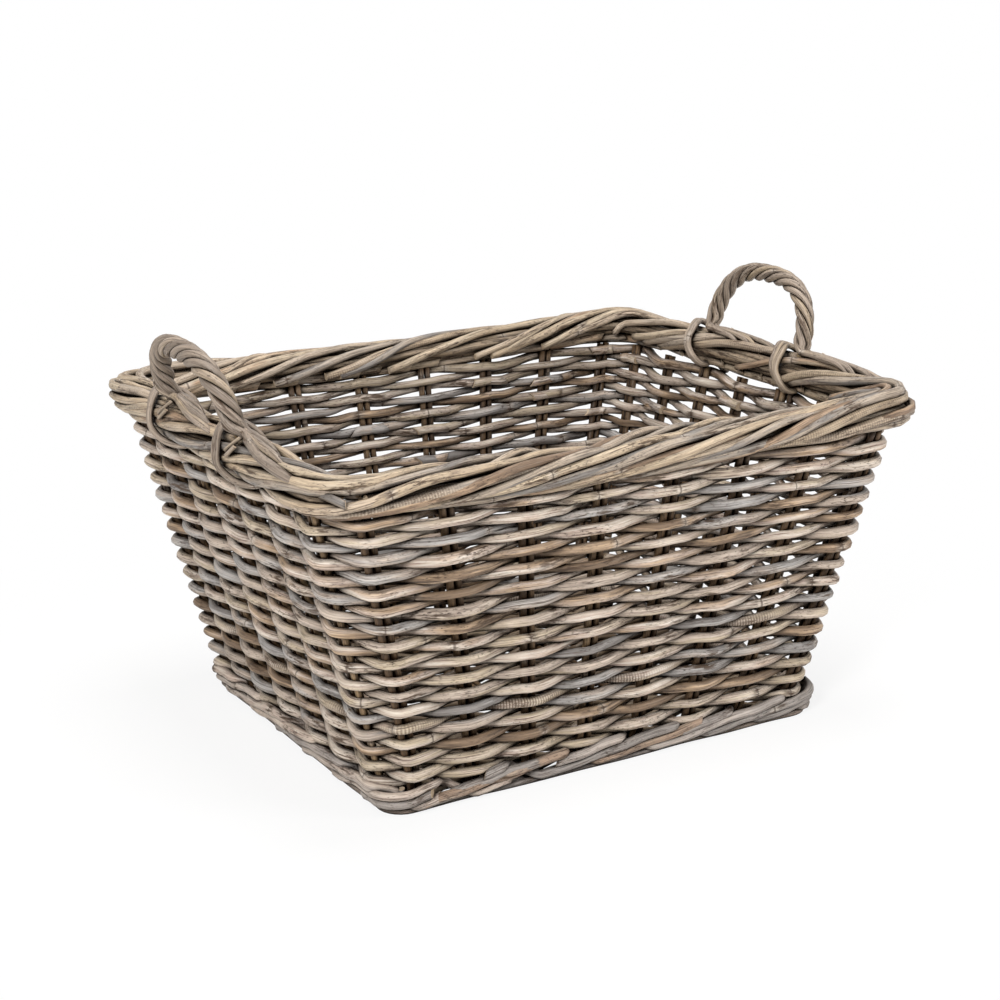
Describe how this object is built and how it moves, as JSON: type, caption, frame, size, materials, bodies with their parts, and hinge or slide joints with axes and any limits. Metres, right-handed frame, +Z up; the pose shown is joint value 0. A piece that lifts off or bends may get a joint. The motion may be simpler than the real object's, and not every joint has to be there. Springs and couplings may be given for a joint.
{
  "type": "rectangular wicker basket",
  "caption": "Rectangular rattan basket, wider at the rim than at the foot, in an open paired weave with a rolled rim border, a ground rod foot and an arched roped handle at each end.",
  "frame": {"origin": "centre of the overall box, on the plane that the ground rod stands on", "axes": "+Z up, +X along the basket's length towards one of its handles, +Y across it"},
  "size_m": [0.6274, 0.4834, 0.3866],
  "materials": {
    "stake_rattan": "dull bark",
    "weaver_rattan": "dull greyish tan",
    "border_rattan": "dull greyish tan",
    "foot_rattan": "dull grey brown",
    "handle_rattan": "dull tan",
    "handle_core_rattan": "dull peeled cane"
  },
  "bodies": {
    "root": {"front_back_stake_01": "stake_rattan", "front_back_stake_02": "stake_rattan", "front_back_stake_03": "stake_rattan", "front_back_stake_04": "stake_rattan", "front_back_stake_05": "stake_rattan", "front_back_stake_06": "stake_rattan", "front_back_stake_07": "stake_rattan", "front_back_stake_08": "stake_rattan", "front_back_stake_09": "stake_rattan", "front_back_stake_10": "stake_rattan", "front_back_stake_11": "stake_rattan", "front_back_stake_12": "stake_rattan", "front_back_stake_13": "stake_rattan", "front_back_stake_14": "stake_rattan", "front_back_stake_15": "stake_rattan", "front_back_stake_16": "stake_rattan", "left_right_stake_01": "stake_rattan", "left_right_stake_02": "stake_rattan", "left_right_stake_03": "stake_rattan", "left_right_stake_04": "stake_rattan", "left_right_stake_05": "stake_rattan", "left_right_stake_06": "stake_rattan", "left_right_stake_07": "stake_rattan", "left_right_stake_08": "stake_rattan", "left_right_stake_09": "stake_rattan", "left_right_stake_10": "stake_rattan", "left_right_stake_11": "stake_rattan", "left_right_stake_12": "stake_rattan", "left_right_stake_13": "stake_rattan", "left_right_stake_14": "stake_rattan", "base_weaver": "weaver_rattan", "weaving_course_01": "weaver_rattan", "weaving_course_02": "weaver_rattan", "weaving_course_03": "weaver_rattan", "weaving_course_04": "weaver_rattan", "weaving_course_05": "weaver_rattan", "weaving_course_06": "weaver_rattan", "weaving_course_07": "weaver_rattan", "weaving_course_08": "weaver_rattan", "weaving_course_09": "weaver_rattan", "weaving_course_10": "weaver_rattan", "weaving_course_11": "weaver_rattan", "weaving_course_12": "weaver_rattan", "weaving_course_13": "weaver_rattan", "weaving_course_14": "weaver_rattan", "weaving_course_15": "weaver_rattan", "weaving_course_16": "weaver_rattan", "rim_border_rod_01": "border_rattan", "rim_border_rod_02": "border_rattan", "ground_rod": "foot_rattan", "foot_wale_rod_01": "foot_rattan", "foot_wale_rod_02": "foot_rattan", "left_handle_core": "handle_core_rattan", "left_handle_wrapping": "handle_rattan", "left_handle_front_lashing": "handle_rattan", "left_handle_back_lashing": "handle_rattan", "right_handle_core": "handle_core_rattan", "right_handle_wrapping": "handle_rattan", "right_handle_front_lashing": "handle_rattan", "right_handle_back_lashing": "handle_rattan"}
  },
  "joints": []
}
